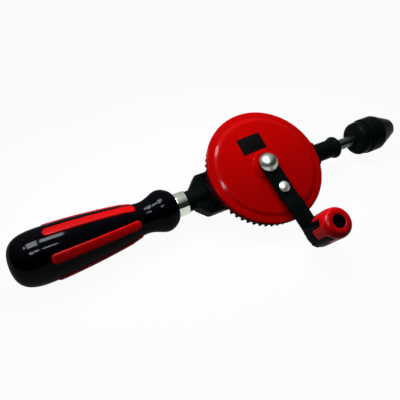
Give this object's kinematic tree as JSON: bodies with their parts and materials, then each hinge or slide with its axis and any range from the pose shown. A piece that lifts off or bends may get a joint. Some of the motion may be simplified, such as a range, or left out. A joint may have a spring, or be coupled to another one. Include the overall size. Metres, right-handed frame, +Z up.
{
  "type": "hand drill",
  "caption": "Eggbeater hand drill: a crank and side wheel with bevel teeth turn a spindle and keyless chuck ahead of a straight ribbed handle.",
  "frame": {"origin": "centre of the chuck's mouth", "axes": "+X along the spindle, out of the chuck; +Z up from the bench that the drill lies on; the crank is on the -Y side"},
  "size_m": [0.3255, 0.1207, 0.0609],
  "materials": {
    "handle_plastic": "smooth, near-black with a blue cast",
    "strip_plastic": "smooth red",
    "plated_steel": "bright plating",
    "black_paint": "semi-gloss black",
    "red_paint": "gloss red",
    "bright_steel": "plated and polished",
    "bronze": "sintered bronze",
    "steel": "turned",
    "black_oxide": "black oxide, satin",
    "knob_black": "satin black",
    "knob_red": "smooth red"
  },
  "bodies": {
    "frame": {"handle_core": "handle_plastic", "grip_strips": "strip_plastic", "ferrule": "plated_steel", "handle_tang": "steel", "frame": "black_paint", "spindle_bush": "bronze", "tail_bush": "bronze", "idler_stud": "steel", "axle_bolt": "bright_steel", "axle_nut": "steel", "axle_washer": "steel", "wheel_washer": "steel", "thrust_washers": "steel"},
    "wheel": {"gear_wheel": "red_paint", "wheel_bush": "bronze", "crank_arm": "black_paint", "drive_rivet": "bright_steel", "knob_pin": "steel"},
    "knob": {"knob_core": "knob_black", "knob_grip": "knob_red"},
    "spindle": {"spindle": "steel", "drive_pinion": "steel", "pinion_pin": "steel", "chuck_body": "black_oxide", "sleeve_clip": "steel"},
    "idler": {"idler_pinion": "steel"},
    "sleeve": {"chuck_sleeve": "black_oxide"},
    "pusher": {"jaw_pusher": "steel"},
    "jaw_a": {"jaw_a": "steel"},
    "jaw_b": {"jaw_b": "steel"},
    "jaw_c": {"jaw_c": "steel"}
  },
  "joints": [
    {"name": "crank_turn", "type": "hinge", "parent": "frame", "child": "wheel", "pos_m": [-0.1387, 0, 0], "axis": [0, -0.55, 0.8352], "continuous": true},
    {"name": "knob_spin", "type": "hinge", "parent": "wheel", "child": "knob", "pos_m": [-0.13235, -0.05042, -0.0332], "axis": [0, -0.55, 0.8352], "continuous": true},
    {"name": "spindle_turn", "type": "hinge", "parent": "frame", "child": "spindle", "pos_m": [0, 0, 0], "axis": [1, 0, 0], "continuous": true},
    {"name": "idler_spin", "type": "hinge", "parent": "frame", "child": "idler", "pos_m": [-0.1387, 0, 0], "axis": [1, 0, 0], "continuous": true},
    {"name": "sleeve_turn", "type": "hinge", "parent": "spindle", "child": "sleeve", "pos_m": [0, 0, 0], "axis": [1, 0, 0], "range_deg": [-340.22, 700.46]},
    {"name": "pusher_slide", "type": "slide", "parent": "sleeve", "child": "pusher", "axis": [1, 0, 0], "range_m": [-0.00189, 0.00389]},
    {"name": "jaw_a_slide", "type": "slide", "parent": "sleeve", "child": "jaw_a", "axis": [0.912, 0.2256, -0.3425], "range_m": [-0.00207, 0.00427]},
    {"name": "jaw_b_slide", "type": "slide", "parent": "sleeve", "child": "jaw_b", "axis": [0.912, 0.1839, 0.3666], "range_m": [-0.00207, 0.00427]},
    {"name": "jaw_c_slide", "type": "slide", "parent": "sleeve", "child": "jaw_c", "axis": [0.912, -0.4094, -0.0241], "range_m": [-0.00207, 0.00427]}
  ],
  "couplings": [
    {"joint": "spindle_turn", "follows": "crank_turn", "ratio": -4},
    {"joint": "idler_spin", "follows": "crank_turn", "ratio": 4},
    {"joint": "pusher_slide", "follows": "sleeve_turn", "m_per_rad": 0.00031831},
    {"joint": "jaw_a_slide", "follows": "sleeve_turn", "m_per_rad": 0.00034901},
    {"joint": "jaw_b_slide", "follows": "sleeve_turn", "m_per_rad": 0.00034901},
    {"joint": "jaw_c_slide", "follows": "sleeve_turn", "m_per_rad": 0.00034901}
  ]
}
